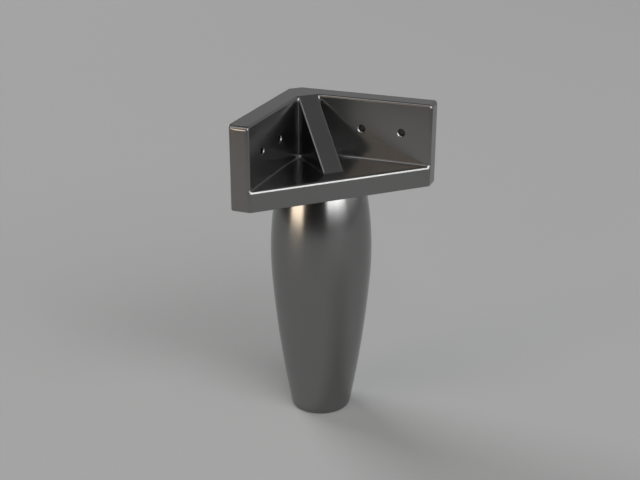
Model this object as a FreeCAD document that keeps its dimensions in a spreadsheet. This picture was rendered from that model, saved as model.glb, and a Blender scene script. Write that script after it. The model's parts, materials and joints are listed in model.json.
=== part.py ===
import FreeCAD, Part
import os
import math
import Sketcher

# Cabinet foot: a corner bracket with two screw flanges, a floor plate and a gusset rib,
# on a barrel-shaped leg, all one casting.
# Millimetres, +Z up. The origin is the centre of the foot's face on the floor, which is on the leg's axis.
# One flange runs along +X from the outer corner, the other along -Y. The bracket opens between them.

TOLERANCE = 1e-4

doc = FreeCAD.newDocument("cabinet_foot")


# Driving dimensions

sizes = doc.addObject("Spreadsheet::Sheet", "Sizes")
driving = [
    ("flange_length", 75.0),      # outer corner to the end of a flange
    ("flange_wall", 10.0),        # thickness of a flange
    ("bracket_height", 40.0),     # underside of the floor plate to the top of the flanges
    ("floor_plate", 10.0),        # thickness of the floor plate
    ("corner_flat", 5.0),         # how far the flat on the outer corner reaches along each flange
    ("rib_wall", 10.0),           # thickness of the gusset rib
    ("rib_head", 5.0),            # length of the rib at the top, from the inner corner
    ("rib_foot", 35.0),           # length of the rib on the floor plate, from the inner corner
    ("leg_height", 120.0),        # floor to the underside of the bracket
    ("leg_inset", 25.0),          # leg's axis from the outer face of each flange
    ("foot_radius", 15.0),        # leg where it stands on the floor
    ("belly_radius", 25.0),       # leg at its widest
    ("belly_height", 85.0),       # height of the widest ring
    ("shoulder_bend", 175.0),     # radius of the arc that rounds the belly and the shoulder
    ("joint_height", 72.0),       # height where the long lower arc takes over
    ("hole_bore", 3.2),           # screw holes
    ("hole_first", 40.0),         # outer corner to the first hole of a flange
    ("hole_pitch", 20.0),         # first hole to the second
    ("hole_height", 25.0),        # underside of the bracket to the holes
    ("edge_round", 2.0),          # rounding of the flange and floor plate edges
    ("root_round", 1.0),          # rounding in the inside corners
    ("rib_round", 0.8),           # rounding along the rib's sloping face
    ("rim_round", 0.5),           # rounding round each screw hole
    ("foot_round", 1.0),          # rounding of the foot's lower edge
]
for row, (alias, value) in enumerate(driving, start=1):
    sizes.set("A%d" % row, alias)
    sizes.set("B%d" % row, repr(value))
    sizes.setAlias("B%d" % row, alias)
doc.recompute()
size = {alias: value for alias, value in driving}


# Helpers for sketches and edges

def origin_plane(body, role):
    """Returns one of the body's own origin planes."""
    for feature in body.Origin.OriginFeatures:
        if feature.Role == role:
            return feature
    raise ValueError(role)


def add_sketch(body, name, role, turn=None, lift=None):
    """Adds a sketch on an origin plane, turned about its own axes and lifted off it by an expression."""
    sketch = body.newObject("Sketcher::SketchObject", name)
    sketch.AttachmentSupport = [(origin_plane(body, role), "")]
    sketch.MapMode = "FlatFace"
    if turn is not None:
        sketch.AttachmentOffset = FreeCAD.Placement(FreeCAD.Vector(), turn)
    if lift is not None:
        sketch.setExpression(".AttachmentOffset.Base.z", lift)
    doc.recompute()
    return sketch


def closed_outline(sketch, corners):
    """Draws a closed polygon and joins its corners. Returns the number of its first edge."""
    first = sketch.GeometryCount
    points = [FreeCAD.Vector(x, y, 0) for x, y in corners]
    count = len(points)
    for index in range(count):
        sketch.addGeometry(Part.LineSegment(points[index], points[(index + 1) % count]), False)
    for index in range(count):
        after = first + (index + 1) % count
        sketch.addConstraint(Sketcher.Constraint("Coincident", first + index, 2, after, 1))
    return first


def bind(sketch, constraint, expression):
    """Adds a dimension to a sketch and ties it to the spreadsheet."""
    index = sketch.addConstraint(constraint)
    sketch.setExpression("Constraints[%d]" % index, expression)


def edge_names(shape, wanted):
    """Names the edges of a shape that a rule picks out."""
    return ["Edge%d" % (index + 1) for index, edge in enumerate(shape.Edges) if wanted(edge)]


def plan(point):
    """Distance from the outer faces of the two flanges, and height above the bracket's underside."""
    along_right = point.x + size["leg_inset"]
    along_left = size["leg_inset"] - point.y
    return along_right, along_left, point.z - size["leg_height"]


# The body and its two plan views

foot = doc.addObject("PartDesign::Body", "cabinet_foot")
foot.Label = "cabinet_foot"

inset = size["leg_inset"]
wall = size["flange_wall"]
length = size["flange_length"]
flat = size["corner_flat"]
underside = size["leg_height"]
floor_top = underside + size["floor_plate"]
top = underside + size["bracket_height"]


def bind_plan(sketch, first, count):
    """Ties the corners that the floor plate's and the flanges' outlines share to the driving dimensions."""
    bind(sketch, Sketcher.Constraint("DistanceX", first, 1, -1, 1, inset), "Sizes.leg_inset")
    bind(sketch, Sketcher.Constraint("DistanceY", -1, 1, first + 1, 1, inset), "Sizes.leg_inset")
    bind(sketch, Sketcher.Constraint("DistanceX", first, 1, first, 2, flat), "Sizes.corner_flat")
    bind(sketch, Sketcher.Constraint("DistanceY", first, 1, first, 2, flat), "Sizes.corner_flat")
    bind(sketch, Sketcher.Constraint("DistanceX", first, 1, first + 1, 2, length), "Sizes.flange_length")
    bind(sketch, Sketcher.Constraint("DistanceY", first + 2, 2, first + 2, 1, wall), "Sizes.flange_wall")
    last = first + count - 1
    bind(sketch, Sketcher.Constraint("DistanceY", last, 1, first + 1, 1, length), "Sizes.flange_length")
    bind(sketch, Sketcher.Constraint("DistanceX", last, 1, last - 1, 1, wall), "Sizes.flange_wall")
    sketch.addConstraint(Sketcher.Constraint("Horizontal", first + 1))
    sketch.addConstraint(Sketcher.Constraint("Vertical", first + 2))
    sketch.addConstraint(Sketcher.Constraint("Horizontal", last - 1))
    sketch.addConstraint(Sketcher.Constraint("Vertical", last))


outer_corners = [(-inset, inset - flat), (-inset + flat, inset), (length - inset, inset)]
right_end = (length - inset, inset - wall)
left_end = (wall - inset, inset - length)
left_outer_end = (-inset, inset - length)

plate_sketch = add_sketch(foot, "PlateOutline", "XY_Plane", lift="Sizes.leg_height")
plate_corners = outer_corners + [right_end, left_end, left_outer_end]
plate_first = closed_outline(plate_sketch, plate_corners)
bind_plan(plate_sketch, plate_first, len(plate_corners))
plate = foot.newObject("PartDesign::Pad", "FloorPlate")
plate.Profile = plate_sketch
plate.setExpression("Length", "Sizes.floor_plate")
doc.recompute()

flange_sketch = add_sketch(foot, "FlangeOutline", "XY_Plane", lift="Sizes.leg_height")
inner_corner = (wall - inset, inset - wall)
flange_corners = outer_corners + [right_end, inner_corner, left_end, left_outer_end]
flange_first = closed_outline(flange_sketch, flange_corners)
bind_plan(flange_sketch, flange_first, len(flange_corners))
flange_sketch.addConstraint(Sketcher.Constraint("Horizontal", flange_first + 3))
flange_sketch.addConstraint(Sketcher.Constraint("Vertical", flange_first + 4))
flanges = foot.newObject("PartDesign::Pad", "Flanges")
flanges.Profile = flange_sketch
flanges.setExpression("Length", "Sizes.bracket_height")
doc.recompute()


# Gusset rib across the inner corner, drawn on the plane that halves the bracket

halving_turn = FreeCAD.Rotation(FreeCAD.Vector(0, 1, 0), -45)
root_reach = (inset - wall) * math.sqrt(2)
rib_sketch = add_sketch(foot, "RibOutline", "XZ_Plane", turn=halving_turn)
rib_corners = [
    (-root_reach, floor_top),
    (size["rib_foot"] - root_reach, floor_top),
    (size["rib_head"] - root_reach, top),
    (-root_reach, top),
]
rib_first = closed_outline(rib_sketch, rib_corners)
for edge in (rib_first, rib_first + 2):
    rib_sketch.addConstraint(Sketcher.Constraint("Horizontal", edge))
rib_sketch.addConstraint(Sketcher.Constraint("Vertical", rib_first + 3))
bind(rib_sketch, Sketcher.Constraint("DistanceX", rib_first, 1, -1, 1, root_reach),
     "(Sizes.leg_inset - Sizes.flange_wall) * sqrt(2)")
bind(rib_sketch, Sketcher.Constraint("DistanceY", -1, 1, rib_first, 1, floor_top),
     "Sizes.leg_height + Sizes.floor_plate")
bind(rib_sketch, Sketcher.Constraint("DistanceX", rib_first, 1, rib_first, 2, size["rib_foot"]),
     "Sizes.rib_foot")
bind(rib_sketch, Sketcher.Constraint("DistanceX", rib_first + 3, 1, rib_first + 2, 1, size["rib_head"]),
     "Sizes.rib_head")
bind(rib_sketch, Sketcher.Constraint("DistanceY", rib_first, 1, rib_first + 3, 1, top - floor_top),
     "Sizes.bracket_height - Sizes.floor_plate")
rib = foot.newObject("PartDesign::Pad", "Rib")
rib.Profile = rib_sketch
rib.SideType = "Symmetric"
rib.setExpression("Length", "Sizes.rib_wall")
doc.recompute()


# Rounded edges of the bracket, in the order in which they run into each other

def near(value, target):
    return abs(value - target) < TOLERANCE * 10


def ends(edge):
    """Both end points of an edge in plan() measures."""
    return plan(edge.Vertexes[0].Point), plan(edge.Vertexes[-1].Point)


def is_line(edge):
    try:
        return isinstance(edge.Curve, Part.Line)
    except TypeError:
        return False


def flange_edge(edge):
    """Top inner edges, top end edges and upright end edges above the floor plate's lip."""
    if not is_line(edge):
        return False
    (u1, w1, z1), (u2, w2, z2) = ends(edge)
    on_right_end = near(u1, length) and near(u2, length)
    on_left_end = near(w1, length) and near(w2, length)
    if near(z1, size["bracket_height"]) and near(z2, size["bracket_height"]):
        along_right = near(w1, wall) and near(w2, wall) and max(u1, u2) > length - wall
        along_left = near(u1, wall) and near(u2, wall) and max(w1, w2) > length - wall
        return along_right or along_left or on_right_end or on_left_end
    upright = near(u1, u2) and near(w1, w2)
    if not upright or not (on_right_end or on_left_end):
        return False
    across = w1 if on_right_end else u1
    return near(across, 0) or min(z1, z2) > size["floor_plate"] - 1


def lip_edge(edge):
    """The floor plate's open top edge."""
    if not is_line(edge):
        return False
    heights = [point[2] for point in ends(edge)]
    reach = [point[0] + point[1] for point in ends(edge)]
    return all(near(z, size["floor_plate"]) for z in heights) and all(near(r, length + wall) for r in reach)


def plate_corner_edge(edge):
    """Upright edges between the floor plate's open front and the flange ends."""
    if not is_line(edge):
        return False
    (u1, w1, z1), (u2, w2, z2) = ends(edge)
    upright = near(u1, u2) and near(w1, w2)
    return upright and near(u1 + w1, length + wall) and max(z1, z2) < size["floor_plate"]


def rib_slope_edge(edge):
    """Both long edges of the rib's sloping face."""
    if not is_line(edge):
        return False
    (u1, w1, z1), (u2, w2, z2) = ends(edge)
    beside = near(abs(u1 - w1), size["rib_wall"] * math.sqrt(2) / 2)
    return beside and near(abs(u2 - w2), abs(u1 - w1)) and abs(z1 - z2) > 1 and not near(u1, u2)


def add_fillet(name, rule, radius, count):
    """Rounds the edges that a rule picks out and checks how many there are."""
    previous = foot.Tip
    names = edge_names(previous.Shape, rule)
    if len(names) != count:
        raise ValueError("%s: %d edges, not %d" % (name, len(names), count))
    fillet = foot.newObject("PartDesign::Fillet", name)
    fillet.Base = (previous, names)
    fillet.setExpression("Radius", radius)
    doc.recompute()
    return fillet


add_fillet("FlangeRounding", flange_edge, "Sizes.edge_round", 8)
add_fillet("LipRounding", lip_edge, "Sizes.edge_round", 1)
add_fillet("PlateCornerRounding", plate_corner_edge, "Sizes.edge_round", 2)
add_fillet("RibRounding", rib_slope_edge, "Sizes.rib_round", 2)


# Rounded inside corners of the right bay, mirrored into the left one

root = size["root_round"]
bite = root / 2
quarter = math.pi / 2


def corner_filler(sketch, face, side):
    """Draws the section of a rounded inside corner between the floor plate and an upright face.

    The face stands at a distance along the sketch's x axis. The bay is on its side +1 or -1.
    """
    first = closed_outline(sketch, [
        (face, floor_top + root),
        (face - side * bite, floor_top + root),
        (face - side * bite, floor_top - bite),
        (face + side * root, floor_top - bite),
        (face + side * root, floor_top),
    ])
    chord = first + 4
    centre = FreeCAD.Vector(face + side * root, floor_top + root, 0)
    circle = Part.Circle(centre, FreeCAD.Vector(0, 0, 1), root)
    turn = math.pi if side > 0 else 3 * quarter
    sketch.delGeometry(chord)
    arc = sketch.addGeometry(Part.ArcOfCircle(circle, turn, turn + quarter), False)
    upper, lower = (1, 2) if side > 0 else (2, 1)
    sketch.addConstraint(Sketcher.Constraint("Coincident", arc, upper, first, 1))
    sketch.addConstraint(Sketcher.Constraint("Coincident", arc, lower, first + 3, 2))
    for edge in (first, first + 2):
        sketch.addConstraint(Sketcher.Constraint("Horizontal", edge))
    for edge in (first + 1, first + 3):
        sketch.addConstraint(Sketcher.Constraint("Vertical", edge))
    sketch.addConstraint(Sketcher.Constraint("Vertical", arc, 3, arc, lower))
    sketch.addConstraint(Sketcher.Constraint("Horizontal", arc, 3, arc, upper))
    bind(sketch, Sketcher.Constraint("Radius", arc, root), "Sizes.root_round")
    bind(sketch, Sketcher.Constraint("DistanceY", -1, 1, first + 3, 2, floor_top),
         "Sizes.leg_height + Sizes.floor_plate")
    bind(sketch, Sketcher.Constraint("DistanceY", first + 1, 2, first + 1, 1, root + bite),
         "Sizes.root_round * 1.5")
    if side > 0:
        bind(sketch, Sketcher.Constraint("DistanceX", first, 2, first, 1, bite), "Sizes.root_round / 2")
    else:
        bind(sketch, Sketcher.Constraint("DistanceX", first, 1, first, 2, bite), "Sizes.root_round / 2")
    return first


flange_root_sketch = add_sketch(foot, "FlangeRootSection", "YZ_Plane",
                                lift="Sizes.flange_wall + Sizes.rib_wall * 0.6 - Sizes.leg_inset")
flange_root_first = corner_filler(flange_root_sketch, inset - wall, -1)
bind(flange_root_sketch, Sketcher.Constraint("DistanceX", -1, 1, flange_root_first, 1, inset - wall),
     "Sizes.leg_inset - Sizes.flange_wall")
flange_root = foot.newObject("PartDesign::Pad", "FlangeRoot")
flange_root.Profile = flange_root_sketch
flange_root.setExpression("Length", "Sizes.flange_length - Sizes.flange_wall - Sizes.rib_wall * 0.6"
                          " - Sizes.edge_round * sqrt(2) - Sizes.root_round")
doc.recompute()

rib_root_sketch = add_sketch(foot, "RibRootSection", "YZ_Plane", turn=halving_turn,
                             lift="Sizes.rib_head - (Sizes.leg_inset - Sizes.flange_wall) * sqrt(2)")
rib_root_first = corner_filler(rib_root_sketch, size["rib_wall"] / 2, 1)
bind(rib_root_sketch, Sketcher.Constraint("DistanceX", -1, 1, rib_root_first, 1, size["rib_wall"] / 2),
     "Sizes.rib_wall / 2")
rib_root = foot.newObject("PartDesign::Pad", "RibRoot")
rib_root.Profile = rib_root_sketch
rib_root.setExpression("Length", "Sizes.rib_foot - Sizes.rib_head - Sizes.root_round - 2 * Sizes.rib_round")
doc.recompute()

# The flange and the rib meet at 45 degrees, so this rounding reaches further out than its radius.
upright_sketch = add_sketch(foot, "UprightRootSection", "XY_Plane",
                            lift="Sizes.leg_height + Sizes.floor_plate")
meeting_x = inner_corner[0] + size["rib_wall"] / math.sqrt(2)
reach = root / math.tan(math.pi / 8)
meeting = FreeCAD.Vector(meeting_x, inner_corner[1], 0)
on_flange = meeting + FreeCAD.Vector(reach, 0, 0)
on_rib = meeting + FreeCAD.Vector(reach, -reach, 0) * math.sqrt(0.5)
centre = on_flange - FreeCAD.Vector(0, root, 0)
along_flange = upright_sketch.addGeometry(Part.LineSegment(meeting, on_flange), False)
along_rib = upright_sketch.addGeometry(Part.LineSegment(on_rib, meeting), False)
round_circle = Part.Circle(centre, FreeCAD.Vector(0, 0, 1), root)
rounding = upright_sketch.addGeometry(Part.ArcOfCircle(round_circle, quarter, 2.5 * quarter), False)
upright_sketch.addConstraint(Sketcher.Constraint("Coincident", along_flange, 1, along_rib, 2))
upright_sketch.addConstraint(Sketcher.Constraint("Tangent", along_flange, 2, rounding, 1))
upright_sketch.addConstraint(Sketcher.Constraint("Tangent", rounding, 2, along_rib, 1))
upright_sketch.addConstraint(Sketcher.Constraint("Horizontal", along_flange))
bind(upright_sketch, Sketcher.Constraint("Radius", rounding, root), "Sizes.root_round")
bind(upright_sketch, Sketcher.Constraint("Angle", along_flange, 1, along_rib, 2, -math.pi / 4), "-45 deg")
bind(upright_sketch, Sketcher.Constraint("DistanceY", -1, 1, along_flange, 1, inset - wall),
     "Sizes.leg_inset - Sizes.flange_wall")
bind(upright_sketch, Sketcher.Constraint("DistanceX", along_flange, 1, -1, 1, -meeting_x),
     "Sizes.leg_inset - Sizes.flange_wall - Sizes.rib_wall / sqrt(2)")
upright_root = foot.newObject("PartDesign::Pad", "UprightRoot")
upright_root.Profile = upright_sketch
upright_root.setExpression("Length", "Sizes.bracket_height - Sizes.floor_plate - Sizes.edge_round"
                           " - 2 * Sizes.rib_round")
doc.recompute()

left_roots = foot.newObject("PartDesign::Mirrored", "LeftRoots")
left_roots.Originals = [flange_root, rib_root, upright_root]
left_roots.MirrorPlane = (rib_sketch, [""])
foot.Tip = left_roots
doc.recompute()


# Barrel-shaped leg, turned about the Z axis

belly = size["belly_radius"]
bend = size["shoulder_bend"]
bend_x = belly - bend
bend_z = size["belly_height"]
neck = bend_x + math.sqrt(bend ** 2 - (underside - bend_z) ** 2)
joint_x = bend_x + math.sqrt(bend ** 2 - (size["joint_height"] - bend_z) ** 2)
joint = FreeCAD.Vector(joint_x, size["joint_height"], 0)
shoulder_centre = FreeCAD.Vector(bend_x, bend_z, 0)
inward = (shoulder_centre - joint).normalize()
sole_edge = FreeCAD.Vector(size["foot_radius"], 0, 0)
to_joint = joint - sole_edge
shank = to_joint.Length ** 2 / (2 * abs(to_joint.dot(inward)))
shank_centre = joint + inward * shank
leg_sketch = add_sketch(foot, "LegProfile", "XZ_Plane")
normal = FreeCAD.Vector(0, 0, 1)


def direction(centre, point):
    """Angle of a point seen from an arc's centre."""
    return math.atan2(point.y - centre.y, point.x - centre.x)


shoulder_top = FreeCAD.Vector(neck, underside, 0)
sole = leg_sketch.addGeometry(Part.LineSegment(FreeCAD.Vector(), sole_edge), False)
lower_circle = Part.Circle(shank_centre, normal, shank)
lower = leg_sketch.addGeometry(Part.ArcOfCircle(
    lower_circle, direction(shank_centre, sole_edge), direction(shank_centre, joint)), False)
upper_circle = Part.Circle(shoulder_centre, normal, bend)
upper = leg_sketch.addGeometry(Part.ArcOfCircle(
    upper_circle, direction(shoulder_centre, joint), direction(shoulder_centre, shoulder_top)), False)
crown = leg_sketch.addGeometry(Part.LineSegment(shoulder_top, FreeCAD.Vector(0, underside, 0)), False)
axis = leg_sketch.addGeometry(Part.LineSegment(FreeCAD.Vector(0, underside, 0), FreeCAD.Vector()), False)
leg_sketch.addConstraint(Sketcher.Constraint("Coincident", sole, 1, -1, 1))
leg_sketch.addConstraint(Sketcher.Constraint("Coincident", sole, 2, lower, 1))
leg_sketch.addConstraint(Sketcher.Constraint("Tangent", lower, 2, upper, 1))
leg_sketch.addConstraint(Sketcher.Constraint("Coincident", upper, 2, crown, 1))
leg_sketch.addConstraint(Sketcher.Constraint("Coincident", crown, 2, axis, 1))
leg_sketch.addConstraint(Sketcher.Constraint("Coincident", axis, 2, sole, 1))
leg_sketch.addConstraint(Sketcher.Constraint("Horizontal", sole))
leg_sketch.addConstraint(Sketcher.Constraint("Horizontal", crown))
leg_sketch.addConstraint(Sketcher.Constraint("Vertical", axis))
bind(leg_sketch, Sketcher.Constraint("DistanceX", sole, 1, sole, 2, size["foot_radius"]),
     "Sizes.foot_radius")
bind(leg_sketch, Sketcher.Constraint("DistanceY", -1, 1, upper, 1, size["joint_height"]),
     "Sizes.joint_height")
bind(leg_sketch, Sketcher.Constraint("DistanceY", -1, 1, upper, 3, bend_z), "Sizes.belly_height")
bind(leg_sketch, Sketcher.Constraint("DistanceX", upper, 3, -1, 1, -bend_x),
     "Sizes.shoulder_bend - Sizes.belly_radius")
bind(leg_sketch, Sketcher.Constraint("Radius", upper, bend), "Sizes.shoulder_bend")
bind(leg_sketch, Sketcher.Constraint("DistanceY", -1, 1, axis, 1, underside), "Sizes.leg_height")
leg = foot.newObject("PartDesign::Revolution", "Leg")
leg.Profile = leg_sketch
leg.ReferenceAxis = (leg_sketch, ["V_Axis"])
leg.Angle = 360
doc.recompute()


# Two screw holes through each flange, bored from the bay side

hole_sketch = add_sketch(foot, "HoleCentres", "XZ_Plane", lift="Sizes.flange_wall - Sizes.leg_inset")
hole_z = underside + size["hole_height"]
first_x = size["hole_first"] - inset
bore_radius = size["hole_bore"] / 2
circles = []
for centre_x in (first_x, first_x + size["hole_pitch"]):
    circle = Part.Circle(FreeCAD.Vector(centre_x, hole_z, 0), normal, bore_radius)
    circles.append(hole_sketch.addGeometry(circle, False))
for circle in circles:
    bind(hole_sketch, Sketcher.Constraint("DistanceY", -1, 1, circle, 3, hole_z),
         "Sizes.leg_height + Sizes.hole_height")
    bind(hole_sketch, Sketcher.Constraint("Radius", circle, bore_radius), "Sizes.hole_bore / 2")
bind(hole_sketch, Sketcher.Constraint("DistanceX", -1, 1, circles[0], 3, first_x),
     "Sizes.hole_first - Sizes.leg_inset")
bind(hole_sketch, Sketcher.Constraint("DistanceX", circles[0], 3, circles[1], 3, size["hole_pitch"]),
     "Sizes.hole_pitch")
doc.recompute()
solid_volume = foot.Shape.Volume
holes = foot.newObject("PartDesign::Hole", "ScrewHoles")
holes.Profile = hole_sketch
holes.DepthType = "Dimension"
holes.ThreadType = "None"
holes.DrillPoint = "Flat"
holes.setExpression("Depth", "Sizes.flange_wall")
holes.setExpression("Diameter", "Sizes.hole_bore")
doc.recompute()
bored = solid_volume - foot.Shape.Volume
expected = len(circles) * math.pi * bore_radius ** 2 * wall
if abs(bored - expected) > expected / 1000:
    raise ValueError("screw holes took %.2f, not %.2f" % (bored, expected))

left_holes = foot.newObject("PartDesign::Mirrored", "LeftScrewHoles")
left_holes.Originals = [holes]
left_holes.MirrorPlane = (rib_sketch, [""])
foot.Tip = left_holes
doc.recompute()


# Rounded hole rims and foot

def rim_edge(edge):
    """Rims of the screw holes on the bay side."""
    closed = len(edge.Vertexes) == 1
    if not closed or not near(edge.Length, 2 * math.pi * bore_radius):
        return False
    u, w, z = plan(edge.Vertexes[0].Point)
    return near(u, wall) or near(w, wall)


def sole_rim(edge):
    """Edge of the face that stands on the floor."""
    box = edge.BoundBox
    return near(box.ZMax, 0) and near(box.XLength, 2 * size["foot_radius"])


add_fillet("RimRounding", rim_edge, "Sizes.rim_round", 4)
add_fillet("SoleRounding", sole_rim, "Sizes.foot_round", 1)


# Final checks and export

doc.recompute()
for item in doc.Objects:
    if "Invalid" in item.State or "Error" in item.State:
        raise ValueError("%s: %s" % (item.Name, item.State))
if not foot.Shape.isValid() or len(foot.Shape.Solids) != 1:
    raise ValueError("cabinet_foot is not one valid solid")
print("cabinet_foot: %d faces, %.1f cm3" % (len(foot.Shape.Faces), foot.Shape.Volume / 1000))

os.makedirs("parts", exist_ok=True)
foot.Shape.exportStep("parts/%s.step" % foot.Label)
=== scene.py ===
# %% [markdown]
# # A cast cabinet foot
#
# This lesson dresses one part: a furniture foot that is cast in one piece. A corner bracket with two
# drilled flanges, a floor plate and a slanting rib sits on a leg shaped like a slim barrel.
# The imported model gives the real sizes. Everything below is in metres, in the same frame, with the
# origin where the leg's axis meets the floor.

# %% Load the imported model
import json
import math

import bmesh
import bpy
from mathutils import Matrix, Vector


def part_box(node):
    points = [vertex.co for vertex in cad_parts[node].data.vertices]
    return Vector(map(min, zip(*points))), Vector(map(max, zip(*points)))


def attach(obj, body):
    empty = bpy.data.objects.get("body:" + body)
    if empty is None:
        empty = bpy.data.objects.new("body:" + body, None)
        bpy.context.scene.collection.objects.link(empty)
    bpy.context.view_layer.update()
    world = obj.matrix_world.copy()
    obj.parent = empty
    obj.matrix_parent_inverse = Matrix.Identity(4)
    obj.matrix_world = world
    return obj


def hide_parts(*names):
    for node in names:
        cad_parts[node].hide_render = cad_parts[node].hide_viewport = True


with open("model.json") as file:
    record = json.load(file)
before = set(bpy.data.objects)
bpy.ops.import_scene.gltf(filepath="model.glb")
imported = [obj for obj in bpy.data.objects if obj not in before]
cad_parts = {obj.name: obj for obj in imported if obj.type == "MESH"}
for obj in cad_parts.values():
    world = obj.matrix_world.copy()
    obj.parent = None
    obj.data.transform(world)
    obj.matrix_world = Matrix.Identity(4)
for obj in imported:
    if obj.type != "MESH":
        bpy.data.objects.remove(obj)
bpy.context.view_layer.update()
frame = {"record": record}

NODE = "cabinet_foot"
MM = 0.001
low, high = (Vector(corner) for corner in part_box(NODE))
mounts = {mount["name"]: mount for mount in frame["record"]["mounts"]}


def in_mm(lengths):
    """Turns metres into millimetres with one decimal, for printing."""
    return [round(length / MM, 1) for length in lengths]


print("node box in mm:", in_mm(low), in_mm(high))

# %% [markdown]
# ## Sizes
#
# The box of the node gives the outer sizes: the flanges' outer faces are at low.x and high.y, their
# ends at low.y and high.x, and their top at high.z. The screw holes come from the record's mounts. The
# walls, the rib and the leg's curve can't be read off a box, so they are named here, as a drawing would
# name them.

# %% Name the sizes
TOP = high.z
WALL = 10 * MM                      # thickness of the flanges, the floor plate and the rib
UNDERSIDE = TOP - 40 * MM           # lower face of the floor plate
FLOOR_PLATE = UNDERSIDE + WALL      # upper face of the floor plate
CORNER_FLAT = 5 * MM                # length of the flat corner along each flange
RIB_REACH = 36 * MM                 # inner corner to the rib's tip on the floor plate
EDGE_ROUND = 1.3 * MM               # inner edges of the flanges and the floor plate's lip
END_ROUND = 2 * MM                  # outer edges of the flanges' ends
ROOT_ROUND = 1 * MM                 # inside corners
RIB_ROUND = 0.6 * MM                # long edges of the rib
FINE_ROUND = 0.25 * MM              # edges that look sharp
SOLE_ROUND = 1 * MM                 # edge of the leg on the floor
RIM_CHAMFER = 0.4 * MM              # rims of the screw holes

FOOT_RADIUS = 15 * MM
BELLY_RADIUS = 25 * MM
BELLY_HEIGHT = 85 * MM
SHOULDER_BEND = 175 * MM            # radius of the arc over the belly and the shoulder
JOINT_HEIGHT = 72 * MM              # where the long lower arc takes over

holes = mounts["right_screw_holes"]
HOLE_RADIUS = holes["dims"]["hole_r_mm"] * MM
HOLE_PITCH = holes["dims"]["spacing_x_mm"] * MM
HOLE_MIDDLE = holes["pos_m"][0]
HOLE_HEIGHT = holes["pos_m"][2]
print("screw holes in mm: radius, pitch, height", in_mm((HOLE_RADIUS, HOLE_PITCH, HOLE_HEIGHT)))

# %% [markdown]
# ## The leg
#
# A turned leg follows a rule: its radius depends only on the height. That makes it a good piece for
# Geometry Nodes. Curve to Mesh sweeps a circle along a straight line up the axis, and scales it at every
# point of the line to the leg's radius there. The outline is two arcs that share a tangent: a tight one
# over the belly and a long one down to the foot. Tangent arcs keep the highlights free of kinks, which a
# satin metal would show.
#
# First come the arcs. The upper one is fixed by the belly. The lower one must pass through the foot's
# edge and leave the upper one without a kink, so its centre lies on the line through the joint and the
# upper centre.

# %% Work out the two arcs of the leg
upper_centre = Vector((BELLY_RADIUS - SHOULDER_BEND, BELLY_HEIGHT))
joint_rise = JOINT_HEIGHT - BELLY_HEIGHT
joint = Vector((upper_centre.x + math.sqrt(SHOULDER_BEND ** 2 - joint_rise ** 2), JOINT_HEIGHT))
inward = (upper_centre - joint).normalized()
from_foot = joint - Vector((FOOT_RADIUS, 0))
LOWER_BEND = from_foot.length_squared / (2 * abs(from_foot.dot(inward)))
lower_centre = joint + inward * LOWER_BEND
NECK_RADIUS = upper_centre.x + math.sqrt(SHOULDER_BEND ** 2 - (UNDERSIDE - BELLY_HEIGHT) ** 2)
print("lower arc and neck radius in mm:", in_mm((LOWER_BEND, NECK_RADIUS)))

# %% [markdown]
# Node trees are built with a few small helpers. `new_tree` makes a tree with named inputs, `link_node`
# adds one node and fills its sockets, either with a value or with another node's output. `bake`
# evaluates an object, turns the result into a plain mesh and throws the modifiers away.

# %% Helpers for geometry nodes
SOCKET_KINDS = {int: "NodeSocketInt", float: "NodeSocketFloat", Vector: "NodeSocketVector"}


def new_tree(name, inputs):
    """Makes a geometry node tree with named inputs. Returns the tree and its input node."""
    tree = bpy.data.node_groups.new(name, "GeometryNodeTree")
    tree.interface.new_socket("Geometry", in_out="OUTPUT", socket_type="NodeSocketGeometry")
    for label, value in inputs.items():
        kind = SOCKET_KINDS[type(value)]
        tree.interface.new_socket(label, in_out="INPUT", socket_type=kind).default_value = value
    return tree, tree.nodes.new("NodeGroupInput")


def link_node(tree, kind, sockets=(), **settings):
    """Adds a node with some settings. Sockets are given as {name or number: value or output}."""
    node = tree.nodes.new(kind)
    for key, value in settings.items():
        setattr(node, key, value)
    for key, value in dict(sockets).items():
        if isinstance(value, bpy.types.NodeSocket):
            tree.links.new(value, node.inputs[key])
        else:
            node.inputs[key].default_value = value
    return node


def calculate(tree, operation, first, second=0.0):
    """Adds one Math node and returns its output."""
    return link_node(tree, "ShaderNodeMath", {0: first, 1: second}, operation=operation).outputs[0]


def bake(piece, name):
    """Turns an object with modifiers into a plain mesh object at the origin and removes the old one."""
    graph = bpy.context.evaluated_depsgraph_get()
    mesh = bpy.data.meshes.new_from_object(piece.evaluated_get(graph), depsgraph=graph)
    mesh.name = name
    bpy.data.objects.remove(piece)
    result = bpy.data.objects.new(name, mesh)
    bpy.context.scene.collection.objects.link(result)
    return result


def grow(tree, name, inputs=()):
    """Runs a geometry node tree on an empty mesh, with its own values for some inputs, and bakes it."""
    seed = bpy.data.objects.new(name, bpy.data.meshes.new(name))
    bpy.context.scene.collection.objects.link(seed)
    modifier = seed.modifiers.new(tree.name, "NODES")
    modifier.node_group = tree
    for label, value in dict(inputs).items():
        modifier[tree.interface.items_tree[label].identifier] = value
    return bake(seed, name)


# %% [markdown]
# The casting's satin finish is made near the end of the lesson. The node trees already give it to what
# they build, so it starts here as an empty material.

# %% Start the material and end each tree in it
cast_metal = bpy.data.materials.new("cast_metal_satin")
cast_metal.use_nodes = True


def finish_tree(tree, geometry):
    """Ends a tree in Realize Instances and Set Material."""
    real = link_node(tree, "GeometryNodeRealizeInstances", {"Geometry": geometry}).outputs[0]
    painted = link_node(tree, "GeometryNodeSetMaterial", {"Geometry": real, "Material": cast_metal})
    link_node(tree, "NodeGroupOutput", {"Geometry": painted.outputs[0]})


print("started:", cast_metal.name)

# %% Turn the leg
LEG_RINGS = 110
LEG_SIDES = 160
SOCKETED = 5 * MM                   # how far the leg runs up into the floor plate

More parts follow.
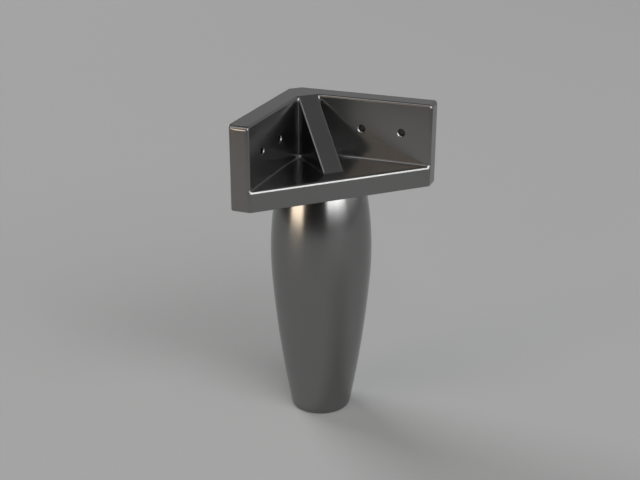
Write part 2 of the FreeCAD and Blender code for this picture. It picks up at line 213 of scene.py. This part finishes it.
leg_tree, sizes = new_tree("turned_leg", {
    "Height": UNDERSIDE + SOCKETED,
    "Rings": LEG_RINGS,
    "Sides": LEG_SIDES,
    "Joint Height": JOINT_HEIGHT,
    "Upper Centre": upper_centre.x,
    "Upper Centre Height": upper_centre.y,
    "Upper Bend": SHOULDER_BEND,
    "Lower Centre": lower_centre.x,
    "Lower Centre Height": lower_centre.y,
    "Lower Bend": LOWER_BEND,
})
place = link_node(leg_tree, "GeometryNodeInputPosition")
height = link_node(leg_tree, "ShaderNodeSeparateXYZ", {0: place.outputs[0]}).outputs["Z"]


def arc_radius(which):
    """Distance of an arc from the axis at the height of each point."""
    rise = calculate(leg_tree, "SUBTRACT", height, sizes.outputs[which + " Centre Height"])
    bend = sizes.outputs[which + " Bend"]
    rise_squared = calculate(leg_tree, "MULTIPLY", rise, rise)
    bend_squared = calculate(leg_tree, "MULTIPLY", bend, bend)
    run = calculate(leg_tree, "SQRT", calculate(leg_tree, "SUBTRACT", bend_squared, rise_squared))
    return calculate(leg_tree, "ADD", run, sizes.outputs[which + " Centre"])


above_joint = calculate(leg_tree, "GREATER_THAN", height, sizes.outputs["Joint Height"])
radius = link_node(leg_tree, "ShaderNodeMix", {
    "Factor": above_joint, "A": arc_radius("Lower"), "B": arc_radius("Upper"),
})
top_point = link_node(leg_tree, "ShaderNodeCombineXYZ", {"Z": sizes.outputs["Height"]})
line = link_node(leg_tree, "GeometryNodeCurvePrimitiveLine", {"End": top_point.outputs[0]})
rings = link_node(leg_tree, "GeometryNodeResampleCurve", {
    "Curve": line.outputs[0], "Count": sizes.outputs["Rings"],
})
circle = link_node(leg_tree, "GeometryNodeCurvePrimitiveCircle", {
    "Resolution": sizes.outputs["Sides"], "Radius": 1.0,
})
sweep = link_node(leg_tree, "GeometryNodeCurveToMesh", {
    "Curve": rings.outputs[0],
    "Profile Curve": circle.outputs[0],
    "Scale": radius.outputs[0],
    "Fill Caps": True,
})
finish_tree(leg_tree, sweep.outputs[0])
leg = grow(leg_tree, "leg")
print("leg:", len(leg.data.polygons), "faces, size in mm", in_mm(leg.dimensions))

# %% [markdown]
# ## The bracket
#
# The bracket has flat faces, mitred corners and rounded edges of different sizes. Nothing in it
# repeats, so it is laid out one by one: a plan of named points, repeated on three levels, and a list of
# faces. The rounding comes from one Bevel modifier that takes each edge's size from its bevel weight.
# That is less work than modelling the roundings, and where three of them meet, the modifier makes
# the blended corner that a casting has.

# %% Lay out the plan of the bracket
inner_corner = Vector((low.x + WALL, high.y - WALL))
down_rib = Vector((1, -1)).normalized()
across_rib = Vector((1, 1)).normalized()
half_rib = WALL / 2
PLAN = {
    "left corner": (low.x, high.y - CORNER_FLAT),
    "right corner": (low.x + CORNER_FLAT, high.y),
    "right outer": (high.x, high.y),
    "right inner": (high.x, high.y - WALL),
    "left inner": (low.x + WALL, low.y),
    "left outer": (low.x, low.y),
    "right head": inner_corner + (down_rib + across_rib) * half_rib,
    "left head": inner_corner + (down_rib - across_rib) * half_rib,
    "right tip": inner_corner + down_rib * RIB_REACH + across_rib * half_rib,
    "left tip": inner_corner + down_rib * RIB_REACH - across_rib * half_rib,
}
LEVELS = {"under": UNDERSIDE, "floor": FLOOR_PLATE, "top": TOP}
TO_RIGHT = ("left corner", "right corner", "right outer", "right inner")
TO_LEFT = ("left inner", "left outer")
ROUND_RIB = ("left head", "left tip", "right tip", "right head")

faces = [
    [(name, "under") for name in reversed(TO_RIGHT + TO_LEFT)],
    [(name, "top") for name in (*TO_RIGHT, "right head", "left head", *TO_LEFT)],
    [(name, "floor") for name in ("right inner", "left inner", *ROUND_RIB)],
]
for start, end in (("left corner", "right corner"), ("right corner", "right outer"),
                   ("left outer", "left corner")):
    faces.append([(start, "under"), (end, "under"), (end, "top"), (start, "top")])
faces.append([("right outer", "under"), ("right inner", "under"), ("right inner", "floor"),
              ("right inner", "top"), ("right outer", "top")])
faces.append([("left inner", "under"), ("left outer", "under"), ("left outer", "top"),
              ("left inner", "top"), ("left inner", "floor")])
faces.append([("right inner", "under"), ("left inner", "under"), ("left inner", "floor"),
              ("right inner", "floor")])
for side in ("right", "left"):
    inner, head, tip = side + " inner", side + " head", side + " tip"
    faces.append([(inner, "floor"), (head, "floor"), (head, "top"), (inner, "top")])
    faces.append([(head, "floor"), (tip, "floor"), (head, "top")])
faces.append([("right head", "top"), ("right tip", "floor"), ("left tip", "floor"),
              ("left head", "top")])
print("bracket:", len(faces), "flat faces")

# %% [markdown]
# A Bevel modifier measures its width along the faces. It is the radius of the rounding times the tangent
# of half the turn between the faces. On a square edge that is the radius itself. On a blunt edge it is
# shorter, and in the upright corners beside the rib, where the faces turn by 135 degrees, it is longer.

# %% List the roundings
EIGHTH = math.tan(math.radians(22.5))       # tangent of half an eighth of a turn
ROUNDINGS = [
    (("right inner", "floor"), ("left inner", "floor"), EDGE_ROUND),
    (("right head", "top"), ("left head", "top"), ROOT_ROUND * EIGHTH),
    (("right tip", "floor"), ("left tip", "floor"), ROOT_ROUND * EIGHTH),
]
for side in ("right", "left"):
    outer, inner, head, tip = (side + part for part in (" outer", " inner", " head", " tip"))
    ROUNDINGS += [
        ((inner, "top"), (head, "top"), EDGE_ROUND),
        ((outer, "top"), (inner, "top"), END_ROUND),
        ((outer, "under"), (outer, "top"), END_ROUND),
        ((inner, "floor"), (inner, "top"), EDGE_ROUND),
        ((inner, "under"), (inner, "floor"), EDGE_ROUND * EIGHTH),
        ((inner, "floor"), (head, "floor"), ROOT_ROUND),
        ((head, "floor"), (tip, "floor"), ROOT_ROUND),
        ((head, "floor"), (head, "top"), ROOT_ROUND / EIGHTH),
        ((head, "top"), (tip, "floor"), RIB_ROUND),
    ]
print(len(ROUNDINGS), "rounded edges")


# %% Build the bracket and round it
def add_bevel(piece, width, segments):
    """Adds a Bevel modifier that takes its width from each edge's weight, where 1 is the full width."""
    bevel = piece.modifiers.new("rounding", "BEVEL")
    bevel.limit_method = "WEIGHT"
    bevel.width = width
    bevel.segments = segments
    bevel.use_clamp_overlap = False
    bevel.miter_outer = "MITER_SHARP"


def join_up(shell, name):
    """Makes a mesh object from a bmesh, smooth shaded."""
    for face in shell.faces:
        face.smooth = True
    mesh = bpy.data.meshes.new(name)
    shell.to_mesh(mesh)
    shell.free()
    piece = bpy.data.objects.new(name, mesh)
    bpy.context.scene.collection.objects.link(piece)
    return piece


WIDEST = max(width for _, _, width in ROUNDINGS)
shell = bmesh.new()
corners = {}
for face in faces:
    for name, level in face:
        if (name, level) not in corners:
            corners[name, level] = shell.verts.new((*PLAN[name], LEVELS[level]))
    shell.faces.new([corners[corner] for corner in face])
bmesh.ops.recalc_face_normals(shell, faces=shell.faces)
weights = shell.edges.layers.float.new("bevel_weight_edge")
for start, end, width in ROUNDINGS:
    shell.edges.get((corners[start], corners[end]))[weights] = width / WIDEST
bracket = join_up(shell, "bracket")
add_bevel(bracket, WIDEST, segments=8)
bracket = bake(bracket, "bracket")
print("bracket rounded:", len(bracket.data.vertices), "points")

# %% [markdown]
# ## The screw holes
#
# Two holes go through each flange, in a row that follows a rule, so Geometry Nodes place the cutters: a
# cylinder is instanced on the points of a line. One tree serves both flanges. Each modifier gets its
# own start, step and turn, and these inputs are set by the identifier of their sockets.

# %% Place the hole cutters
HOLE_SIDES = 48
DRILL_LENGTH = WALL * 2

hole_tree, sizes = new_tree("hole_row", {
    "Holes": 2,
    "Radius": HOLE_RADIUS,
    "Depth": DRILL_LENGTH,
    "Start": Vector((0, 0, 0)),
    "Step": Vector((HOLE_PITCH, 0, 0)),
    "Turn": Vector((0, 0, 0)),
})
row = link_node(hole_tree, "GeometryNodeMeshLine", {
    "Count": sizes.outputs["Holes"],
    "Start Location": sizes.outputs["Start"],
    "Offset": sizes.outputs["Step"],
}, mode="OFFSET")
drill = link_node(hole_tree, "GeometryNodeMeshCylinder", {
    "Vertices": HOLE_SIDES,
    "Radius": sizes.outputs["Radius"],
    "Depth": sizes.outputs["Depth"],
})
drills = link_node(hole_tree, "GeometryNodeInstanceOnPoints", {
    "Points": row.outputs[0],
    "Instance": drill.outputs["Mesh"],
    "Rotation": sizes.outputs["Turn"],
})
finish_tree(hole_tree, drills.outputs[0])

first_hole = HOLE_MIDDLE - HOLE_PITCH / 2
wall_middle = high.y - WALL / 2
right_drills = grow(hole_tree, "right_drills", {
    "Start": (first_hole, wall_middle, HOLE_HEIGHT),
    "Turn": (math.pi / 2, 0, 0),
})
left_drills = grow(hole_tree, "left_drills", {
    "Start": (-wall_middle, -first_hole, HOLE_HEIGHT),
    "Step": (0, -HOLE_PITCH, 0),
    "Turn": (0, math.pi / 2, 0),
})
print("drills start in mm:", in_mm(right_drills.bound_box[0]), in_mm(left_drills.bound_box[0]))

# %% [markdown]
# ## One casting
#
# The real foot is cast in one piece, so its mesh is one closed shell. Exact Booleans join the leg to
# the bracket and take the drills out. The rims of the holes were broken with a countersink, so they get
# a flat chamfer, one segment wide. The other edges that are still sharp get fine roundings. No real
# edge is perfectly sharp, and the bright line along an edge is what makes metal look solid.

# %% Join the leg and drill the holes
for label, other, operation in (("leg", leg, "UNION"), ("right", right_drills, "DIFFERENCE"),
                                ("left", left_drills, "DIFFERENCE")):
    cut = bracket.modifiers.new(label, "BOOLEAN")
    cut.object = other
    cut.operation = operation
    cut.solver = "EXACT"
foot = bake(bracket, "cabinet_foot_casting")
for tool in (leg, right_drills, left_drills):
    bpy.data.objects.remove(tool)
print("joined:", len(foot.data.polygons), "faces")


# %% Chamfer the holes and round the edges that are left
SHARP = math.radians(38)            # faces that turn more than this meet in a sharp edge
FLANGE_DEPTH = WALL * 1.1           # a flange and a little more, measured from its outer face
RIM_REACH = HOLE_RADIUS + RIM_CHAMFER / 2
CHAMFER_REACH = HOLE_RADIUS + RIM_CHAMFER * 1.5


def in_hole(point, reach):
    """Tells whether a point of a flange lies within some reach of the axis of a screw hole."""
    up = point.z - HOLE_HEIGHT
    right = abs(point.x - HOLE_MIDDLE) - HOLE_PITCH / 2
    left = abs(point.y + HOLE_MIDDLE) - HOLE_PITCH / 2
    return (point.y > high.y - FLANGE_DEPTH and math.hypot(right, up) < reach
            or point.x < low.x + FLANGE_DEPTH and math.hypot(left, up) < reach)


def hole_chamfer(middle):
    """Width of the chamfer on a sharp edge: only the rims of the holes get one."""
    return RIM_CHAMFER if in_hole(middle, RIM_REACH) else 0


def small_rounding(middle):
    """Radius for any other sharp edge."""
    if middle.z < SOLE_ROUND:
        return SOLE_ROUND
    return 0 if in_hole(middle, CHAMFER_REACH) else FINE_ROUND


def soften(foot, width_at, widest, segments):
    """Bevels each sharp edge of the casting by the width that a rule gives for its middle."""
    shell = bmesh.new()
    shell.from_mesh(foot.data)
    bpy.data.objects.remove(foot)
    layers = shell.edges.layers.float
    weights = layers.get("bevel_weight_edge") or layers.new("bevel_weight_edge")
    bevelled = 0
    for edge in shell.edges:
        sharp = edge.calc_face_angle_signed(0) >= SHARP
        width = width_at((edge.verts[0].co + edge.verts[1].co) / 2) if sharp else 0
        edge[weights] = width / widest
        bevelled += width > 0
    print("edges to bevel:", bevelled)
    foot = join_up(shell, "cabinet_foot_casting")
    add_bevel(foot, widest, segments)
    return bake(foot, "cabinet_foot_casting")


foot = soften(foot, hole_chamfer, RIM_CHAMFER, segments=1)
foot = soften(foot, small_rounding, SOLE_ROUND, segments=4)
print("rounded:", len(foot.data.polygons), "faces")

# %% [markdown]
# Smooth shading alone would bend the light across the big flat faces near every rounding. The Weighted
# Normal modifier lets the largest face at a point decide its normal, so flat faces stay flat and only
# the roundings turn. The faces inside the holes are marked here too, for the painted shade in the bores.

# %% Set the shading normals
shell = bmesh.new()
shell.from_mesh(foot.data)
bpy.data.objects.remove(foot)
for edge in shell.edges:
    edge.smooth = edge.calc_face_angle(0) < SHARP
for face in shell.faces:
    # the faces inside the holes get the second material, a painted shade for the deep bores
    face.material_index = int(in_hole(face.calc_center_median(), HOLE_RADIUS))
print("faces in the holes:", sum(face.material_index for face in shell.faces))
print("closed:", all(edge.is_manifold for edge in shell.edges))
print("volume in cm3:", round(shell.calc_volume() / (10 * MM) ** 3, 2))
foot = join_up(shell, "cabinet_foot_casting")
settle = foot.modifiers.new("flat faces stay flat", "WEIGHTED_NORMAL")
settle.keep_sharp = True
settle.weight = 100
foot = bake(foot, "cabinet_foot_casting")
print("casting:", len(foot.data.vertices), "points, size in mm", in_mm(foot.dimensions))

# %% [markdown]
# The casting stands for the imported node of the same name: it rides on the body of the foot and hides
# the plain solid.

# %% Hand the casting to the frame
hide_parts(NODE)
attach(foot, "root")
print(foot.name, "replaces", NODE)

# %% [markdown]
# ## Satin metal
#
# The real foot is smooth, dark metal with a satin finish: it mirrors the softboxes as blurred patches
# and shows no paint colour of its own. A metallic surface has no diffuse light, so its base colour is
# the share of light that it sends back, and its roughness sets the blur. Inside the holes the metal is
# painted nearly black and made duller: the black is painted shade, the shade that falls in the bores.
#
# No polish is perfectly even. Both surfaces get the same effect with their own values: tone and blur
# drift a little from place to place, and a very fine grain breaks up the highlights. It is a node group
# that puts out a mask, a roughness and a normal, and the shader itself stays in the material.

# %% Make the polish marks
GRAIN_HEIGHT = 0.02 * MM
DRIFT_LOW, DRIFT_HIGH = 0.3, 0.7    # nearly all of the noise lies between these values
MARKS_IN = {"Drift Scale": 45.0, "Grain Scale": 2600.0, "Smooth": 0.19, "Dull": 0.21, "Grain Depth": 0.06}
MARKS_OUT = {"Tone": "NodeSocketFloat", "Roughness": "NodeSocketFloat", "Normal": "NodeSocketVector"}

marks = bpy.data.node_groups.new("polish_marks", "ShaderNodeTree")
for label, value in MARKS_IN.items():
    socket = marks.interface.new_socket(label, in_out="INPUT", socket_type="NodeSocketFloat")
    socket.default_value = value
for label, kind in MARKS_OUT.items():
    marks.interface.new_socket(label, in_out="OUTPUT", socket_type=kind)
dials = marks.nodes.new("NodeGroupInput")
where = link_node(marks, "ShaderNodeTexCoord").outputs["Object"]
drift = link_node(marks, "ShaderNodeTexNoise", {
    "Vector": where, "Scale": dials.outputs["Drift Scale"], "Detail": 3.0, "Roughness": 0.55,
}).outputs[0]
grain = link_node(marks, "ShaderNodeTexNoise", {
    "Vector": where, "Scale": dials.outputs["Grain Scale"], "Detail": 2.0, "Roughness": 0.6,
}).outputs[0]
blur = link_node(marks, "ShaderNodeMapRange", {
    "Value": drift, "From Min": DRIFT_LOW, "From Max": DRIFT_HIGH,
    "To Min": dials.outputs["Smooth"], "To Max": dials.outputs["Dull"],
}).outputs[0]
bumps = link_node(marks, "ShaderNodeBump", {
    "Strength": dials.outputs["Grain Depth"], "Distance": GRAIN_HEIGHT, "Height": grain,
}).outputs[0]
link_node(marks, "NodeGroupOutput", {"Tone": drift, "Roughness": blur, "Normal": bumps})
print("polish marks:", len(marks.nodes), "nodes")


# %% Give the casting its satin, and painted shade inside the holes
COLOUR_A, COLOUR_B, COLOUR_RESULT = 6, 7, 2     # numbers of a Mix node's sockets for colours


def polish(material, light, dark, values=()):
    """Makes a metal material of two near tones, with its own values for the polish marks."""
    tree = material.node_tree
    principled = tree.nodes["Principled BSDF"]
    principled.inputs["Metallic"].default_value = 1.0
    group = link_node(tree, "ShaderNodeGroup", values, node_tree=marks)
    tone = link_node(tree, "ShaderNodeMix", {
        "Factor": group.outputs["Tone"], COLOUR_A: dark, COLOUR_B: light,
    }, data_type="RGBA")
    tree.links.new(tone.outputs[COLOUR_RESULT], principled.inputs["Base Color"])
    tree.links.new(group.outputs["Roughness"], principled.inputs["Roughness"])
    tree.links.new(group.outputs["Normal"], principled.inputs["Normal"])
    material.diffuse_color = light


SATIN = (0.25, 0.249, 0.247, 1)
SATIN_SHADE = (0.238, 0.237, 0.236, 1)
# near-black tones inside the holes: painted shade of the deep bores, not the metal's own colour
BORE_PAINTED_SHADE = (0.02, 0.0195, 0.019, 1)
BORE_PAINTED_SHADE_DEEP = (0.013, 0.0127, 0.0124, 1)

bore_painted_shade = bpy.data.materials.new("bore_metal_painted_shade")
bore_painted_shade.use_nodes = True
polish(cast_metal, SATIN, SATIN_SHADE)
polish(bore_painted_shade, BORE_PAINTED_SHADE, BORE_PAINTED_SHADE_DEEP, {
    "Smooth": 0.3, "Dull": 0.42, "Drift Scale": 600.0, "Grain Depth": 0.4,
})
for metal in (cast_metal, bore_painted_shade):
    foot.data.materials.append(metal)
print("finishes:", foot.data.materials.keys())

# %% [markdown]
# ## The studio
#
# The foot stands on a plain grey floor. Polished metal shows its surroundings, so the studio is built
# as a photographer builds it: the floor near the foot, large softboxes, and black cloth beyond. The
# floor is two pieces of one paint. The near one is a disc that everything sees. The far one is a ring
# that only fills the picture behind the foot. It is left out of reflections, where the black cloth
# would be, and it casts no shadow, so that it doesn't cut off the lowest softboxes.

# %% Lay the floor
FLOOR = (0.383, 0.383, 0.383, 1)
FLOOR_NEAR = 0.62                   # radius of the disc
FLOOR_REACH = 14.0                  # outer radius of the ring
FLOOR_SIDES = 160

floor_paint = bpy.data.materials.new("studio_floor_paint")
floor_paint.use_nodes = True
paint = floor_paint.node_tree.nodes["Principled BSDF"]
paint.inputs["Base Color"].default_value = FLOOR
paint.inputs["Roughness"].default_value = 1.0
paint.inputs["Specular IOR Level"].default_value = 0.0


def circle_points(ground, radius):
    """Points of one circle on the floor."""
    turns = (math.tau * side / FLOOR_SIDES for side in range(FLOOR_SIDES))
    return [ground.verts.new((radius * math.cos(turn), radius * math.sin(turn), 0)) for turn in turns]


ground = bmesh.new()
ground.faces.new(circle_points(ground, FLOOR_NEAR))
near_floor = join_up(ground, "studio_floor")
ground = bmesh.new()
inner, outer = circle_points(ground, FLOOR_NEAR), circle_points(ground, FLOOR_REACH)
for side in range(FLOOR_SIDES):
    ground.faces.new((inner[side - 1], outer[side - 1], outer[side], inner[side]))
far_floor = join_up(ground, "studio_floor_beyond")
far_floor.visible_glossy = False
far_floor.visible_shadow = False
for floor in (near_floor, far_floor):
    floor.data.materials.append(floor_paint)
    print(floor.name, len(floor.data.polygons), "faces")

# %% [markdown]
# The wall behind the foot is as pale as the floor and gives a soft glow. In the world that is one
# rule: the light is strongest straight back and fades to near black at the sides.

# %% Light the wall behind
WALL_LIGHT = 0.35
DARK_ROOM = 0.01
WALL_AZIMUTH = math.radians(80)

world = bpy.data.worlds.new("studio_room")
bpy.context.scene.world = world
world.use_nodes = True
sky = world.node_tree
looking = link_node(sky, "ShaderNodeTexCoord").outputs["Generated"]
wall = (math.cos(WALL_AZIMUTH), math.sin(WALL_AZIMUTH), 0)
facing = link_node(sky, "ShaderNodeVectorMath", {0: looking, 1: wall}, operation="DOT_PRODUCT")
glow = link_node(sky, "ShaderNodeMapRange", {
    "Value": facing.outputs["Value"], "To Min": DARK_ROOM, "To Max": WALL_LIGHT,
})
sky.links.new(glow.outputs[0], sky.nodes["Background"].inputs["Color"])
print("world:", world.name)

# %% [markdown]
# The softboxes are placed by the direction in which the foot sees them, in degrees, and their size is
# the angle that they span there. Each has a brightness, where 1 is a white sheet in full light. The
# big pale ones make the white highlights, a warm one at the left the beige one. Together they light a
# white floor to about one, so a colour renders as it is written.

# %% Set up the softboxes
AIM = Vector((0, 0, 100 * MM))
LAMP_DISTANCE = 8.0
SOFTBOXES = {
    # azimuth from +X, elevation, width and height in degrees, then brightness and colour
    "main_softbox": (323.5, 37.5, 62, 33, 4.05, (0.99, 1.0, 1.0)),
    "low_softbox": (328.5, 4.0, 47, 8.8, 6.0, (1.0, 1.0, 1.0)),
    "rear_softbox": (155, 27, 42, 44, 5.0, (0.98, 0.99, 1.0)),
    "warm_softbox": (232.3, -0.1, 31, 15, 5.5, (1.0, 0.82, 0.63)),
    "high_warm_softbox": (233.9, 32, 12.3, 32.6, 1.6, (1.0, 0.87, 0.79)),
    "plate_softbox": (257.5, 19, 19, 22, 0.9, (1.0, 0.88, 0.76)),
    "side_softbox": (0, 10, 75, 30, 0.75, (1.0, 1.0, 1.0)),
    "top_softbox": (274, 66.4, 106.7, 36.1, 0.58, (1.0, 1.0, 1.0)),
    "high_left_softbox": (220, 60, 36, 20, 1.1, (1.0, 0.985, 0.965)),
    "rib_softbox": (20, 73, 80, 30, 0.1, (1.0, 1.0, 1.0)),
}


def breadth(degrees):
    """Size of something that spans an angle at the lamps' distance."""
    return 2 * LAMP_DISTANCE * math.tan(math.radians(degrees) / 2)


for name, (azimuth, elevation, wide, tall, brightness, colour) in SOFTBOXES.items():
    turn, rise = math.radians(azimuth), math.radians(elevation)
    toward = Vector((math.cos(turn) * math.cos(rise), math.sin(turn) * math.cos(rise), math.sin(rise)))
    lamp = bpy.data.lights.new(name, "AREA")
    lamp.shape = "RECTANGLE"
    lamp.size, lamp.size_y = breadth(wide * math.cos(rise)), breadth(tall)
    lamp.energy = math.pi * lamp.size * lamp.size_y * brightness
    lamp.color = colour
    softbox = bpy.data.objects.new(name, lamp)
    softbox.location = AIM + toward * LAMP_DISTANCE
    softbox.rotation_euler = toward.to_track_quat("Z", "Y").to_euler()
    bpy.context.scene.collection.objects.link(softbox)
    print(name, "in m:", round(lamp.size, 1), "x", round(lamp.size_y, 1))

# %% [markdown]
# ## The camera
#
# The camera looks down on the foot from the front, a little from its right, about half a metre away.
# Its angle and distance set how fast the edges run together, and the lens then sets the size.

# %% Place the camera
AZIMUTH, ELEVATION, ROLL = (math.radians(angle) for angle in (21.24, 22.09, 0.04))
DISTANCE = 538.1 * MM
TARGET = Vector((-0.57, -0.18, 90.4)) * MM
LENS = 61.13

back = Vector((
    math.sin(AZIMUTH) * math.cos(ELEVATION),
    -math.cos(AZIMUTH) * math.cos(ELEVATION),
    math.sin(ELEVATION),
))
eye = bpy.data.cameras.new("camera")
eye.lens = LENS
eye.clip_start = 0.01
eye.clip_end = 100
camera = bpy.data.objects.new("camera", eye)
camera.location = TARGET + back * DISTANCE
camera.rotation_euler = back.to_track_quat("Z", "Y").to_euler()
camera.rotation_euler.rotate_axis("Z", ROLL)
bpy.context.scene.collection.objects.link(camera)
bpy.context.scene.camera = camera
bpy.context.scene.view_settings.view_transform = "Standard"
print("camera in mm:", in_mm(camera.location))
